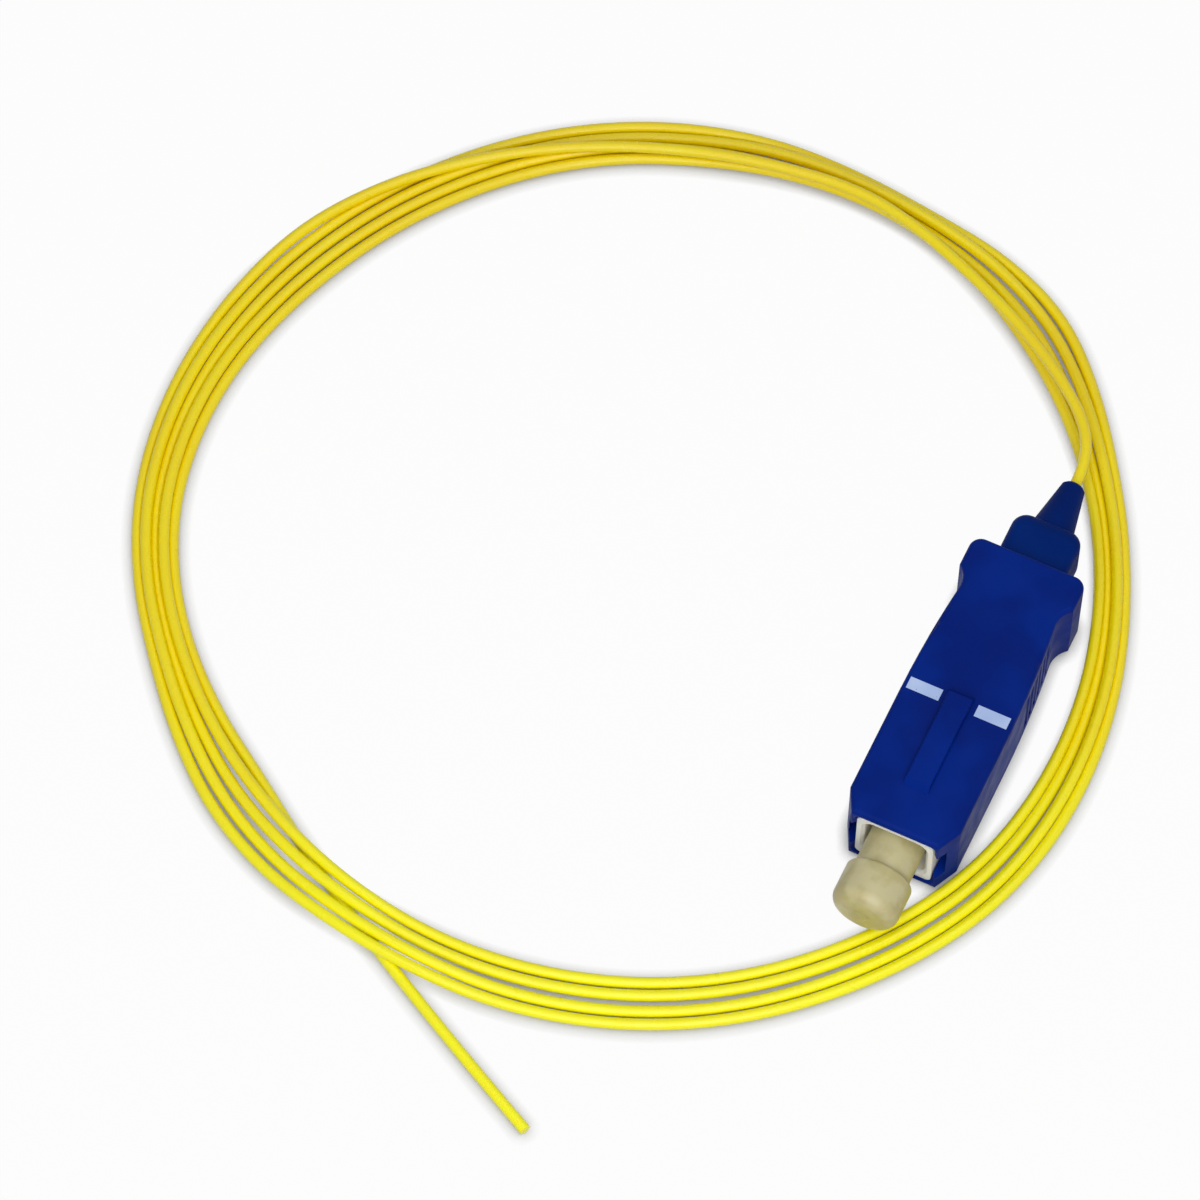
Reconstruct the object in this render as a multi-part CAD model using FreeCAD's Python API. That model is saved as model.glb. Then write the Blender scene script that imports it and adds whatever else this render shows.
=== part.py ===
import FreeCAD, Part
import math
import os
from FreeCAD import Vector

# Fibre optic pigtail: a rectangular push-pull plug with its dust cap, on a coil of buffered fibre.
# The plug lies on its wide face with its axis along Y, the cap towards -Y and the boot towards +Y.
# The origin is under the middle of the plug, on the surface that it lies on. Sizes are millimetres.
# Stations along the plug are counted rearwards from the front face of its grip.

# Grip: the outer sleeve that the fingers push and pull
GRIP_LENGTH = 25.15
GRIP_WIDTH = 9.0
GRIP_HEIGHT = 7.4
NOSE_WIDTH = 7.1
NOSE_LENGTH = 1.9
WAIST_START = 11.0
WAIST_END = 20.6
WAIST_WIDTH = 7.9
EAR_START = 22.4
EAR_WIDTH = 9.4
EAR_RADIUS = 1.0
GRIP_EDGE_ROUND = 0.4
GRIP_TRAVEL = 1.6
REAR_WALL_START = 22.6
REAR_OPENING = (6.2, 5.6)

# Key rib on the top of the grip
KEY_WIDTH = 2.0
KEY_HEIGHT = 0.7
KEY_START = 3.6
KEY_END = 12.4
KEY_RAMP = 0.5
KEY_EDGE_ROUND = 0.15

# Painted seating marks beside the key
MARK_STATION = 11.55
MARK_LENGTH = 2.65
MARK_WIDTH = 1.0
MARK_CENTRE_X = 2.78
MARK_DEPTH = 0.12

# Finger grooves down both narrow sides
GROOVE_COUNT = 6
GROOVE_START = 14.8
GROOVE_PITCH = 0.9
GROOVE_RADIUS = 0.35
GROOVE_DEPTH = 0.2
GROOVE_HEIGHT = 4.8

# Latch channels and stop pockets inside the grip's narrow walls
CHANNEL_LENGTH = 9.0
CHANNEL_HEIGHT = 3.4
CHANNEL_DEPTH = 0.75
CHANNEL_ROUND = 0.6
POCKET_DEPTH = 0.55
POCKET_HEIGHT = 2.8

# Plug frame: the white tube that the grip slides on
FRAME_FRONT = 0.1
FRAME_REAR = 20.0
FRAME_WIDTH = 6.2
FRAME_HEIGHT = 5.8
FRAME_ROUND = 0.5
SLIDE_GAP = 0.1
SOCKET_WIDTH = 5.0
SOCKET_HEIGHT = 4.8
SOCKET_ROUND = 0.9
SOCKET_DEPTH = 6.0
SOCKET_BEVEL = 0.25
SEAT_THICKNESS = 1.2
SEAT_HOLE_RADIUS = 1.6
FRAME_BORE_RADIUS = 2.45
BOSS_START = 4.2
BOSS_END = 6.4
BOSS_HEIGHT = 2.2
BOSS_REACH = 0.6
LUG_START = 11.65
LUG_LENGTH = 0.9
LUG_HEIGHT = 2.4
LUG_REACH = 0.45
TAB_WINDOW_START = 17.4
TAB_WINDOW_LENGTH = 1.3
TAB_WINDOW_HEIGHT = 2.2

# Ferrule and its flange, floating on the spring
FERRULE_RADIUS = 1.25
FERRULE_TIP = -0.4
FERRULE_REAR = 10.1
FERRULE_CHAMFER = 0.35
FERRULE_TRAVEL = 1.2
FLANGE_GAP = 0.02
FLANGE_RADIUS = 2.3
FLANGE_LENGTH = 3.2
FLANGE_STEP_RADIUS = 2.0
FLANGE_STEP = 0.4
NOTCH_COUNT = 4
NOTCH_WIDTH = 0.8
NOTCH_DEPTH = 0.45
NOTCH_CLEARANCE = 0.1
TAIL_RADIUS = 1.15
TAIL_END = 13.2

# Spring between flange and stop ring
SPRING_MEAN_RADIUS = 1.85
SPRING_WIRE = 0.45
SPRING_TURNS = 6
SPRING_END_GAP = 0.02

# Stop ring clipped into the back of the frame, with a barbed neck for the boot
STOP_FRONT = 16.4
STOP_BEVEL = 0.25
STOP_SLEEVE_RADIUS = 2.4
STOP_COLLAR_RADIUS = 2.9
STOP_COLLAR_LENGTH = 1.0
STOP_BORE_RADIUS = 1.0
NECK_RADIUS = 1.7
NECK_LENGTH = 4.4
BARB_COUNT = 3
BARB_HEIGHT = 0.2
TAB_REACH = 0.55
TAB_GAP = 0.1

# Guide tube behind the flange
GUIDE_OUTER_RADIUS = 0.7
GUIDE_INNER_RADIUS = 0.52
GUIDE_END = 21.5

# Boot: a rounded block that narrows to a short cone
BOOT_WIDTH = 5.6
BOOT_HEIGHT = 5.0
BOOT_ROUND = 0.9
BOOT_SHOULDER = 29.5
BOOT_SHOULDER_ROUND = 1.4
BOOT_CONE_RADIUS = 1.75
BOOT_TIP = 33.9
BOOT_TIP_RADIUS = 0.95
BOOT_TIP_ROUND = 0.2
BOOT_BORE_RADIUS = 0.5

# Dust cap: a round head on a hollow stem that covers the ferrule
CAP_NOSE = -5.9
CAP_HEAD_REAR = -2.3
CAP_HEAD_RADIUS = 2.65
CAP_NOSE_ROUND = 1.0
CAP_REAR_ROUND = 0.35
CAP_STEM_RADIUS = 2.2
CAP_STEM_GAP = 0.3
CAP_STEM_BEVEL = 0.25
CAP_BORE_RADIUS = 1.27
CAP_BORE_END = -1.0

# Buffered fibre and the band that its turns lie in
FIBRE_RADIUS = 0.45
INNER_FIBRE_START = 11.6
COIL_CENTRE = (-28.2, 1.3)
COIL_HEIGHT = 0.9
COIL_RIM_ROUND = 0.4

# Distances from the coil's centre to the band's inner and outer edge, in even steps round from +X
COIL_EDGES = [
    (35.4, 38.5), (35.1, 37.9), (35.7, 39.2), (36.1, 38.8), (35.4, 38.9), (34.9, 39.6),
    (35.5, 39.6), (35.3, 38.6), (33.9, 38.5), (34.5, 38.5), (35.0, 39.0), (35.6, 39.3),
]

# The plug's axis is half its grip's height above the floor, and its ends are equally far from the origin
AXIS_Z = GRIP_HEIGHT / 2
FRONT_Y = -(BOOT_TIP + CAP_NOSE) / 2

# Places that follow from the sizes above
CAVITY_WIDTH = FRAME_WIDTH + 2 * SLIDE_GAP
CAVITY_HEIGHT = FRAME_HEIGHT + 2 * SLIDE_GAP
SEAT_REAR = SOCKET_DEPTH + SEAT_THICKNESS
FLANGE_FRONT = SEAT_REAR + FLANGE_GAP
FLANGE_REAR = FLANGE_FRONT + FLANGE_LENGTH
CAP_STEM_END = SOCKET_DEPTH - FERRULE_TRAVEL - CAP_STEM_GAP
COLLAR_REAR = FRAME_REAR + STOP_COLLAR_LENGTH
NECK_END = COLLAR_REAR + NECK_LENGTH
TIP_Y = FRONT_Y + BOOT_TIP

# Cutters run past the faces that they open by OVERCUT, and places closer than TOUCH are the same place
OVERCUT = 1.0
TOUCH = 1e-6
X, Y, Z = range(3)

# A bend of the fibre takes up this share of the shorter run beside it
BEND_SHARE = 0.45

# Route of the fibre from the boot's tip down to the inner side of the band, in the part's own frame
LEAD_ROUTE = [
    (0.0, TIP_Y, AXIS_Z),
    (0.0, 22.1, 3.7),
    (-1.25, 25.15, 3.5),
    (-4.65, 28.4, 2.9),
    (-9.3, 31.55, 2.05),
    (-14.9, 34.4, 1.2),
    (-20.6, 36.65, 0.65),
    (-26.2, 37.8, 0.5),
]

# Route of the cut end, from the inner side of the band out under it to where it lies beside it
TAIL_ROUTE = [
    (-46.3, -27.9, 0.45),
    (-41.4, -31.0, 0.45),
    (-34.6, -35.1, 0.45),
    (-27.3, -39.0, 0.45),
    (-20.9, -42.29, 0.45),
    (-15.7, -44.85, 0.45),
]


def rounded_rectangle(width, height, radius, station):
    """Closed rounded rectangle about the plug's axis, across it at a station."""
    half_x = width / 2
    half_z = height / 2
    slant = radius * (1 - math.sqrt(0.5))
    edges = []
    corners = [(1, 1), (-1, 1), (-1, -1), (1, -1)]
    for index, (sx, sz) in enumerate(corners):
        side_end = Vector(sx * half_x, station, sz * (half_z - radius))
        top_end = Vector(sx * (half_x - radius), station, sz * half_z)
        middle = Vector(sx * (half_x - slant), station, sz * (half_z - slant))
        start, end = (side_end, top_end) if index % 2 == 0 else (top_end, side_end)
        edges.append(Part.Arc(start, middle, end).toShape())
        nx, nz = corners[(index + 1) % 4]
        if index % 2 == 0:
            following = Vector(nx * (half_x - radius), station, nz * half_z)
        else:
            following = Vector(nx * half_x, station, nz * (half_z - radius))
        edges.append(Part.LineSegment(end, following).toShape())
    return Part.Wire(edges)


def bar(width, height, radius, start, end):
    """Solid bar of rounded rectangular section between two stations."""
    face = Part.Face(rounded_rectangle(width, height, radius, start))
    return face.extrude(Vector(0, end - start, 0))


def funnel(mouth, throat, start, end):
    """Solid that tapers from one rounded rectangle (width, height, radius) to another."""
    wires = [rounded_rectangle(*mouth, start), rounded_rectangle(*throat, end)]
    return Part.makeLoft(wires, True, True)


def turned(profile):
    """Solid of revolution about the plug's axis from (station, radius) corners."""
    points = [Vector(radius, station, 0) for station, radius in profile]
    face = Part.Face(Part.makePolygon(points + points[:1]))
    return face.revolve(Vector(0, 0, 0), Vector(0, 1, 0), 360)


def rod(radius, start, end):
    """Plain cylinder along the plug's axis."""
    return Part.makeCylinder(radius, end - start, Vector(0, start, 0), Vector(0, 1, 0))


def box(low, high):
    """Box between two (x, station, z) corners."""
    size = [b - a for a, b in zip(low, high)]
    return Part.makeBox(*size, Vector(*low))


def on_both_sides(shape):
    """A shape with its mirror image across the plug's middle."""
    return [shape, shape.mirror(Vector(0, 0, 0), Vector(1, 0, 0))]


def tangent_arc(start, heading, end):
    """Arc that leaves start along heading and reaches end."""
    chord = end - start
    side = Vector(0, 0, 1).cross(heading)
    radius = chord.Length ** 2 / (2 * chord.dot(side))
    centre = start + side * radius
    to_middle = (start + chord * 0.5 - centre).normalize()
    return Part.Arc(start, centre + to_middle * abs(radius), end)


def lies_at(edge, axis, *places):
    """Whether an edge lies in a plane across an axis, at one of the places along it."""
    limits = edge.BoundBox
    low = (limits.XMin, limits.YMin, limits.ZMin)[axis]
    high = (limits.XMax, limits.YMax, limits.ZMax)[axis]
    return any(abs(low - place) < TOUCH and abs(high - place) < TOUCH for place in places)


def is_rim(edge, radius):
    """Whether an edge is as long as a full circle of a radius."""
    return abs(edge.Length - 2 * math.pi * radius) < TOUCH


def round_edges(solid, radius, chosen):
    """Solid with the edges for which chosen(edge) holds rounded off."""
    return solid.makeFillet(radius, [edge for edge in solid.Edges if chosen(edge)])


def grip_outline():
    """Plan of the grip: bevelled nose, long finger waist and flared ears with rounded corners."""
    half = GRIP_WIDTH / 2
    ear = EAR_WIDTH / 2
    nose = Vector(NOSE_WIDTH / 2, 0, 0)
    shoulder = Vector(half, NOSE_LENGTH, 0)
    waist_start = Vector(half, WAIST_START, 0)
    waist_end = Vector(WAIST_WIDTH / 2, WAIST_END, 0)
    ear_start = Vector(ear, EAR_START, 0)
    ear_end = Vector(ear, GRIP_LENGTH - EAR_RADIUS, 0)
    rear = Vector(ear - EAR_RADIUS, GRIP_LENGTH, 0)
    waist = tangent_arc(waist_start, Vector(0, 1, 0), waist_end)
    waist_exit = waist.tangent(waist.LastParameter)[0]
    curves = [
        Part.LineSegment(nose, shoulder),
        Part.LineSegment(shoulder, waist_start),
        waist,
        tangent_arc(waist_end, waist_exit, ear_start),
        Part.LineSegment(ear_start, ear_end),
        tangent_arc(ear_end, Vector(0, 1, 0), rear),
    ]
    right = [curve.toShape() for curve in curves]
    left = [edge.mirror(Vector(0, 0, 0), Vector(1, 0, 0)) for edge in right]
    front = Part.LineSegment(Vector(-nose.x, nose.y, 0), nose).toShape()
    back = Part.LineSegment(rear, Vector(-rear.x, rear.y, 0)).toShape()
    return Part.Wire(Part.sortEdges(right + left + [front, back])[0])


def key_rib():
    """Key on the top face, ramped at its front and rear ends."""
    top = GRIP_HEIGHT / 2
    crown = top + KEY_HEIGHT
    side = KEY_WIDTH / 2
    profile = [
        Vector(-side, KEY_START, top - GRIP_EDGE_ROUND),
        Vector(-side, KEY_START, top),
        Vector(-side, KEY_START + KEY_RAMP, crown),
        Vector(-side, KEY_END - KEY_RAMP, crown),
        Vector(-side, KEY_END, top),
        Vector(-side, KEY_END, top - GRIP_EDGE_ROUND),
    ]
    rib = Part.Face(Part.makePolygon(profile + profile[:1])).extrude(Vector(KEY_WIDTH, 0, 0))

    def runs_along_the_crown(edge):
        return lies_at(edge, Z, crown) and lies_at(edge, X, -side, side)

    return round_edges(rib, KEY_EDGE_ROUND, runs_along_the_crown)


def finger_grooves():
    """Cutters for the row of upright finger grooves, both sides."""
    waist_radius = ((WAIST_END - WAIST_START) ** 2) / (GRIP_WIDTH - WAIST_WIDTH)
    cutters = []
    for index in range(GROOVE_COUNT):
        station = GROOVE_START + index * GROOVE_PITCH
        side = GRIP_WIDTH / 2 - (station - WAIST_START) ** 2 / (2 * waist_radius)
        centre = Vector(side + GROOVE_RADIUS - GROOVE_DEPTH, station, -GROOVE_HEIGHT / 2)
        cutters += on_both_sides(Part.makeCylinder(GROOVE_RADIUS, GROOVE_HEIGHT, centre))
    return cutters


def latch_channels():
    """Cutters for the channels, open at the nose, where the mating port's hooks reach the frame's bosses."""
    inside = CAVITY_WIDTH / 2
    half = CHANNEL_HEIGHT / 2
    channel = box((inside - OVERCUT, -OVERCUT, -half), (inside + CHANNEL_DEPTH, CHANNEL_LENGTH, half))

    def ends_the_channel(edge):
        return lies_at(edge, Y, CHANNEL_LENGTH) and lies_at(edge, Z, -half, half)

    return on_both_sides(round_edges(channel, CHANNEL_ROUND, ends_the_channel))


def stop_pockets():
    """Cutters for the pockets whose ends stop the frame's lugs at both ends of the grip's travel."""
    inside = CAVITY_WIDTH / 2
    rear = LUG_START + LUG_LENGTH + SLIDE_GAP
    front = LUG_START - GRIP_TRAVEL - SLIDE_GAP
    half = POCKET_HEIGHT / 2
    return on_both_sides(box((inside - OVERCUT, front, -half), (inside + POCKET_DEPTH, rear, half)))


def mark_bars():
    """The two inlaid bars of the seating marks."""
    top = GRIP_HEIGHT / 2
    low = (MARK_CENTRE_X - MARK_LENGTH / 2, MARK_STATION - MARK_WIDTH / 2, top - MARK_DEPTH)
    high = (MARK_CENTRE_X + MARK_LENGTH / 2, MARK_STATION + MARK_WIDTH / 2, top)
    return on_both_sides(box(low, high))


def grip_housing():
    """Grip: a moulded sleeve, open at both ends, that slides on the plug frame."""
    half_height = GRIP_HEIGHT / 2
    outline = grip_outline()
    outline.translate(Vector(0, 0, -half_height))
    body = Part.Face(outline).extrude(Vector(0, 0, GRIP_HEIGHT))
    body = round_edges(body, GRIP_EDGE_ROUND, lambda edge: lies_at(edge, Z, -half_height, half_height))
    body = body.fuse(key_rib())
    cavity = (CAVITY_WIDTH, CAVITY_HEIGHT, FRAME_ROUND)
    mouth = (CAVITY_WIDTH + 2 * SOCKET_BEVEL, CAVITY_HEIGHT + 2 * SOCKET_BEVEL, FRAME_ROUND + SOCKET_BEVEL)
    cutters = [
        bar(*cavity, -OVERCUT, REAR_WALL_START),
        bar(*REAR_OPENING, BOOT_ROUND, REAR_WALL_START - OVERCUT, GRIP_LENGTH + OVERCUT),
        funnel(mouth, cavity, 0, SOCKET_BEVEL),
    ]
    cutters += latch_channels() + stop_pockets() + finger_grooves() + mark_bars()
    return body.cut(cutters).removeSplitter()


def seating_marks():
    """White paint in the two shallow recesses beside the key."""
    return Part.makeCompound(mark_bars())


def latch_boss():
    """Wedge on the frame's side that the mating port's hook snaps over."""
    side = FRAME_WIDTH / 2
    half = BOSS_HEIGHT / 2
    corners = [
        Vector(side - SLIDE_GAP, BOSS_START, -half),
        Vector(side, BOSS_START, -half),
        Vector(side + BOSS_REACH, BOSS_END - BOSS_REACH, -half),
        Vector(side + BOSS_REACH, BOSS_END, -half),
        Vector(side - SLIDE_GAP, BOSS_END, -half),
    ]
    return Part.Face(Part.makePolygon(corners + corners[:1])).extrude(Vector(0, 0, BOSS_HEIGHT))


def plug_frame():
    """Plug frame: socket at the front, a wall that the flange seats on, and a bore for flange and spring."""
    side = FRAME_WIDTH / 2
    lug = box((side - SLIDE_GAP, LUG_START, -LUG_HEIGHT / 2),
              (side + LUG_REACH, LUG_START + LUG_LENGTH, LUG_HEIGHT / 2))
    body = bar(FRAME_WIDTH, FRAME_HEIGHT, FRAME_ROUND, FRAME_FRONT, FRAME_REAR)
    body = body.fuse(on_both_sides(latch_boss()) + on_both_sides(lug))
    socket = (SOCKET_WIDTH, SOCKET_HEIGHT, SOCKET_ROUND)
    mouth = (SOCKET_WIDTH + 2 * SOCKET_BEVEL, SOCKET_HEIGHT + 2 * SOCKET_BEVEL, SOCKET_ROUND + SOCKET_BEVEL)
    window = box((FRAME_BORE_RADIUS - OVERCUT, TAB_WINDOW_START, -TAB_WINDOW_HEIGHT / 2),
                 (side + OVERCUT, TAB_WINDOW_START + TAB_WINDOW_LENGTH, TAB_WINDOW_HEIGHT / 2))
    cutters = [
        bar(*socket, FRAME_FRONT - OVERCUT, SOCKET_DEPTH),
        funnel(mouth, socket, FRAME_FRONT, FRAME_FRONT + SOCKET_BEVEL),
        rod(SEAT_HOLE_RADIUS, SOCKET_DEPTH - OVERCUT, SEAT_REAR + OVERCUT),
        rod(FRAME_BORE_RADIUS, SEAT_REAR, FRAME_REAR + OVERCUT),
    ]
    body = body.cut(cutters + on_both_sides(window))
    return body.fuse(anti_turn_ribs()).removeSplitter()


def anti_turn_ribs():
    """Two short ribs in the bore, above and below, that keep the flange from turning."""
    half_width = NOTCH_WIDTH / 2 - NOTCH_CLEARANCE
    inner = FLANGE_RADIUS - NOTCH_DEPTH + NOTCH_CLEARANCE
    outer = (FRAME_BORE_RADIUS + FRAME_HEIGHT / 2) / 2
    low = (-half_width, SEAT_REAR - SLIDE_GAP, inner)
    high = (half_width, FLANGE_REAR - SLIDE_GAP, outer)
    upper = box(low, high)
    return [upper, upper.mirror(Vector(0, 0, 0), Vector(0, 0, 1))]


def ferrule():
    """Ceramic ferrule with its bevelled tip."""
    return turned([
        (FERRULE_TIP, 0),
        (FERRULE_TIP, FERRULE_RADIUS - FERRULE_CHAMFER),
        (FERRULE_TIP + FERRULE_CHAMFER, FERRULE_RADIUS),
        (FERRULE_REAR, FERRULE_RADIUS),
        (FERRULE_REAR, 0),
    ])


def ferrule_flange():
    """Metal flange pressed on the ferrule, notched round its rim, with a tail for spring and guide tube."""
    body = turned([
        (FLANGE_FRONT, FERRULE_RADIUS),
        (FLANGE_FRONT, FLANGE_STEP_RADIUS),
        (FLANGE_FRONT + FLANGE_STEP, FLANGE_STEP_RADIUS),
        (FLANGE_FRONT + FLANGE_STEP, FLANGE_RADIUS),
        (FLANGE_REAR, FLANGE_RADIUS),
        (FLANGE_REAR, TAIL_RADIUS),
        (TAIL_END, TAIL_RADIUS),
        (TAIL_END, GUIDE_OUTER_RADIUS),
        (FERRULE_REAR, GUIDE_OUTER_RADIUS),
        (FERRULE_REAR, FERRULE_RADIUS),
    ])
    notches = []
    for index in range(NOTCH_COUNT):
        notch = box((-NOTCH_WIDTH / 2, FLANGE_FRONT - OVERCUT, FLANGE_RADIUS - NOTCH_DEPTH),
                    (NOTCH_WIDTH / 2, FLANGE_REAR, FLANGE_RADIUS + OVERCUT))
        notch.rotate(Vector(0, 0, 0), Vector(0, 1, 0), index * 360 / NOTCH_COUNT)
        notches.append(notch)
    return body.cut(notches)


def spring():
    """Coil spring from the flange's back to the stop ring's front."""
    wire_radius = SPRING_WIRE / 2
    start = FLANGE_REAR + wire_radius + SPRING_END_GAP
    length = STOP_FRONT - wire_radius - SPRING_END_GAP - start
    pitch = length / SPRING_TURNS
    path = Part.Wire(Part.makeHelix(pitch, length, SPRING_MEAN_RADIUS))
    rise = Vector(0, 2 * math.pi * SPRING_MEAN_RADIUS, pitch)
    section = Part.Wire(Part.makeCircle(wire_radius, Vector(SPRING_MEAN_RADIUS, 0, 0), rise))
    coil = path.makePipeShell([section], True, True)
    coil.rotate(Vector(0, 0, 0), Vector(1, 0, 0), -90)
    coil.translate(Vector(0, start, 0))
    return coil


def guide_tube():
    """Thin tube that leads the fibre into the flange."""
    outside = rod(GUIDE_OUTER_RADIUS, FERRULE_REAR, GUIDE_END)
    return outside.cut(rod(GUIDE_INNER_RADIUS, FERRULE_REAR, GUIDE_END))


def stop_ring():
    """Stop ring: sleeve in the frame's bore, collar against its end, barbed neck, and two snap tabs."""
    profile = [
        (STOP_FRONT, STOP_BORE_RADIUS),
        (STOP_FRONT, STOP_SLEEVE_RADIUS - STOP_BEVEL),
        (STOP_FRONT + STOP_BEVEL, STOP_SLEEVE_RADIUS),
        (FRAME_REAR, STOP_SLEEVE_RADIUS),
        (FRAME_REAR, STOP_COLLAR_RADIUS),
        (COLLAR_REAR, STOP_COLLAR_RADIUS),
        (COLLAR_REAR, NECK_RADIUS),
    ]
    step = NECK_LENGTH / (BARB_COUNT + 1)
    for index in range(BARB_COUNT):
        barb = COLLAR_REAR + (index + 0.5) * step
        profile += [(barb, NECK_RADIUS), (barb, NECK_RADIUS + BARB_HEIGHT), (barb + step, NECK_RADIUS)]
    profile += [(NECK_END, NECK_RADIUS), (NECK_END, STOP_BORE_RADIUS)]
    tab = box((STOP_SLEEVE_RADIUS - TAB_REACH, TAB_WINDOW_START + TAB_GAP, -TAB_WINDOW_HEIGHT / 2 + TAB_GAP),
              (STOP_SLEEVE_RADIUS + TAB_REACH, TAB_WINDOW_START + TAB_WINDOW_LENGTH - TAB_GAP,
               TAB_WINDOW_HEIGHT / 2 - TAB_GAP))
    return turned(profile).fuse(on_both_sides(tab)).removeSplitter()


def boot():
    """Boot: rounded block pushed over the neck, narrowing to a short cone round the fibre."""
    block = bar(BOOT_WIDTH, BOOT_HEIGHT, BOOT_ROUND, COLLAR_REAR, BOOT_SHOULDER)
    block = round_edges(block, BOOT_SHOULDER_ROUND, lambda edge: lies_at(edge, Y, BOOT_SHOULDER))
    cone = turned([
        (NECK_END, 0),
        (NECK_END, BOOT_CONE_RADIUS),
        (BOOT_SHOULDER, BOOT_CONE_RADIUS),
        (BOOT_TIP - BOOT_TIP_ROUND, BOOT_TIP_RADIUS),
        (BOOT_TIP, BOOT_TIP_RADIUS - BOOT_TIP_ROUND),
        (BOOT_TIP, 0),
    ])
    body = block.fuse(cone)
    bores = [rod(NECK_RADIUS, COLLAR_REAR, NECK_END), rod(BOOT_BORE_RADIUS, COLLAR_REAR, BOOT_TIP)]
    return body.cut(bores).removeSplitter()


def dust_cap():
    """Dust cap: rounded head on a stem whose blind bore slips over the ferrule."""
    body = turned([
        (CAP_NOSE, 0),
        (CAP_NOSE, CAP_HEAD_RADIUS),
        (CAP_HEAD_REAR, CAP_HEAD_RADIUS),
        (CAP_HEAD_REAR, CAP_STEM_RADIUS),
        (CAP_STEM_END - CAP_STEM_BEVEL, CAP_STEM_RADIUS),
        (CAP_STEM_END, CAP_STEM_RADIUS - CAP_STEM_BEVEL),
        (CAP_STEM_END, CAP_BORE_RADIUS),
        (CAP_BORE_END, CAP_BORE_RADIUS),
        (CAP_BORE_END, 0),
    ])
    for station, radius in ((CAP_NOSE, CAP_NOSE_ROUND), (CAP_HEAD_REAR, CAP_REAR_ROUND)):
        body = round_edges(
            body, radius, lambda edge: lies_at(edge, Y, station) and is_rim(edge, CAP_HEAD_RADIUS))
    return body


def inner_fibre():
    """The fibre's stretch inside the plug, from the guide tube to the boot's tip."""
    return rod(FIBRE_RADIUS, INNER_FIBRE_START, BOOT_TIP)


def fibre_tube(name, route):
    """Plain tube along straight runs joined by tangent arcs as large as the runs allow."""
    points = [Vector(*point) for point in route]
    edges = []
    radii = []
    start = points[0]
    for before, corner, after in zip(points, points[1:], points[2:]):
        towards = (before - corner).normalize()
        away = (after - corner).normalize()
        half_turn = (math.pi - towards.getAngle(away)) / 2
        reach = BEND_SHARE * min((before - corner).Length, (after - corner).Length)
        radius = reach / math.tan(half_turn)
        bisector = (towards + away).normalize()
        middle = corner + bisector * (radius / math.cos(half_turn) - radius)
        edges.append(Part.LineSegment(start, corner + towards * reach).toShape())
        edges.append(Part.Arc(corner + towards * reach, middle, corner + away * reach).toShape())
        start = corner + away * reach
        radii.append(radius)
    edges.append(Part.LineSegment(start, points[-1]).toShape())
    path = Part.Wire(edges)
    section = Part.Wire(Part.makeCircle(FIBRE_RADIUS, points[0], points[1] - points[0]))
    tube = path.makePipeShell([section], True, False)
    expected = math.pi * FIBRE_RADIUS ** 2 * path.Length
    print(name, "arc radii", [round(radius, 1) for radius in radii], "length", round(path.Length, 2),
          "volume", round(tube.Volume, 2), "of", round(expected, 2))
    return tube


def coil_disc(radii):
    """Flat disc about the coil's centre whose smooth edge passes through a distance at each even step."""
    centre = Vector(*COIL_CENTRE, 0)
    step = 2 * math.pi / len(radii)
    points = []
    for index, radius in enumerate(radii):
        outwards = Vector(math.cos(index * step), math.sin(index * step), 0)
        points.append(centre + outwards * radius)
    edge = Part.BSplineCurve()
    edge.interpolate(points, PeriodicFlag=True)
    return Part.Face(Part.Wire(edge.toShape())).extrude(Vector(0, 0, COIL_HEIGHT))


def fibre_coil():
    """Flat band that the fibre's loose turns lie in, as wide all round as they are."""
    inner, outer = (coil_disc(radii) for radii in zip(*COIL_EDGES))
    return round_edges(outer.cut(inner), COIL_RIM_ROUND, lambda edge: lies_at(edge, Z, 0, COIL_HEIGHT))


def on_the_plug(shape):
    """A shape modelled about the plug's axis, moved to where the plug lies."""
    shape.translate(Vector(0, FRONT_Y, AXIS_Z))
    return shape


def main():
    """Builds every piece and writes it to its own file."""
    plug_pieces = [
        grip_housing, seating_marks, plug_frame, ferrule, ferrule_flange, spring, guide_tube,
        stop_ring, boot, dust_cap, inner_fibre,
    ]
    pieces = {make.__name__: on_the_plug(make()) for make in plug_pieces}
    pieces["fibre_lead"] = fibre_tube("fibre_lead", LEAD_ROUTE)
    pieces["fibre_coil"] = fibre_coil()
    pieces["fibre_tail"] = fibre_tube("fibre_tail", TAIL_ROUTE)
    os.makedirs("parts", exist_ok=True)
    for name, shape in pieces.items():
        print(f"{name}: valid {shape.isValid()}, solids {len(shape.Solids)}, volume {shape.Volume:.2f}")
        shape.exportStep(f"parts/{name}.step")


main()
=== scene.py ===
"""Fibre optic pigtail: the finishes, the fibre, the floor, the light and the camera round the plug."""

import logging
import math
from collections.abc import Callable
from dataclasses import dataclass
from enum import Enum

import bpy
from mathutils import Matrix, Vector
from mathutils.geometry import intersect_point_line


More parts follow.
